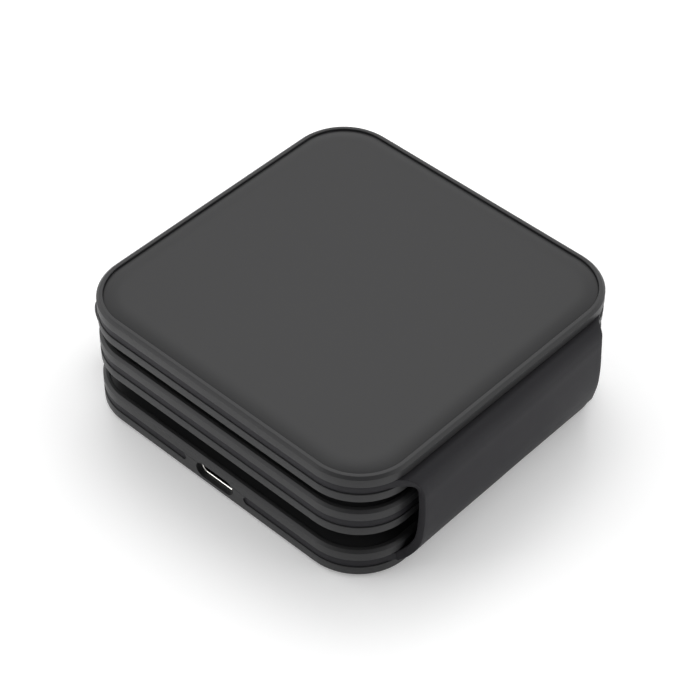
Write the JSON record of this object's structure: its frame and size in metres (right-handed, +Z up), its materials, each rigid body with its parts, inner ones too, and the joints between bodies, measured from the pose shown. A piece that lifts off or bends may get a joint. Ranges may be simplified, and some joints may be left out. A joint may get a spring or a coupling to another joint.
{
  "type": "folding wireless charger",
  "caption": "Folding wireless charger: rounded-square pads stacked shut on a silicone strap, with a USB-C socket.",
  "frame": {"origin": "on the table under the middle of the bottom pad, on the face of its back panel", "axes": "+Z up through the stack, +X towards the long strap, -X towards the short strap, -Y towards the USB-C socket"},
  "size_m": [0.0806, 0.07, 0.0251],
  "materials": {
    "case_plastic": "matt black moulded plastic, fine spark texture",
    "panel_coating": "smooth matt soft-touch coating",
    "silicone": "matt black silicone",
    "grip_silicone": "matt silicone",
    "screw_steel": "zinc-plated steel",
    "puck_glaze": "white satin cap",
    "coil_copper": "enamelled copper litz",
    "ferrite": "dark sintered ferrite",
    "magnet_nickel": "nickel-plated magnet",
    "shield_foil": "rolled foil",
    "socket_steel": "drawn stainless steel",
    "tongue_plastic": "black moulded resin",
    "contact_gold": "gold-plated contacts",
    "flex_film": "amber polyimide ribbon",
    "board_laminate": "green solder-masked laminate",
    "chip_resin": "moulded black resin",
    "capacitor_ceramic": "tan ceramic"
  },
  "bodies": {
    "bottom_pad": {"bottom_back_shell": "case_plastic", "bottom_back_panel": "panel_coating", "bottom_silicone_frame": "silicone", "bottom_face_shell": "case_plastic", "bottom_face_panel": "panel_coating", "bottom_screws": "screw_steel", "puck_housing": "case_plastic", "puck_cap": "puck_glaze", "puck_base": "case_plastic", "watch_ferrite": "ferrite", "watch_coil": "coil_copper", "watch_magnet": "magnet_nickel", "socket_shell": "socket_steel", "socket_tongue": "tongue_plastic", "socket_contacts": "contact_gold", "main_board": "board_laminate", "driver_chips": "chip_resin", "power_inductors": "chip_resin", "board_capacitors": "capacitor_ceramic", "board_screws": "screw_steel", "bottom_flex_right": "flex_film", "bottom_flex_left": "flex_film", "short_strap_lower": "silicone"},
    "long_strap": {"long_strap": "silicone", "long_strap_flex": "flex_film"},
    "top_pad": {"top_back_shell": "case_plastic", "top_back_panel": "panel_coating", "top_silicone_frame": "silicone", "top_face_shell": "case_plastic", "top_face_panel": "panel_coating", "top_screws": "screw_steel", "phone_coil": "coil_copper", "phone_ferrite": "ferrite", "phone_shield": "shield_foil", "phone_grip_ring": "grip_silicone", "phone_magnets": "magnet_nickel", "phone_board": "board_laminate", "top_flex": "flex_film"},
    "middle_pad": {"middle_back_shell": "case_plastic", "middle_back_panel": "panel_coating", "middle_silicone_frame": "silicone", "middle_face_shell": "case_plastic", "middle_face_panel": "panel_coating", "middle_screws": "screw_steel", "earbud_coil": "coil_copper", "earbud_ferrite": "ferrite", "earbud_grip_ring": "grip_silicone", "earbud_magnets": "magnet_nickel", "earbud_board": "board_laminate", "middle_flex": "flex_film", "short_strap_upper": "silicone"}
  },
  "joints": [
    {"name": "strap_fold_lower", "type": "hinge", "parent": "bottom_pad", "child": "long_strap", "pos_m": [0.03715, 0, 0.004], "axis": [0, 1, 0], "range_deg": [0, 90]},
    {"name": "strap_fold_upper", "type": "hinge", "parent": "long_strap", "child": "top_pad", "pos_m": [0.03756, 0, 0.02151], "axis": [0, 1, 0], "range_deg": [0, 90]},
    {"name": "short_strap_flex", "type": "hinge", "parent": "bottom_pad", "child": "middle_pad", "pos_m": [-0.04115, 0, 0.0084], "axis": [0, -1, 0], "range_deg": [-0.5, 0.8]}
  ]
}
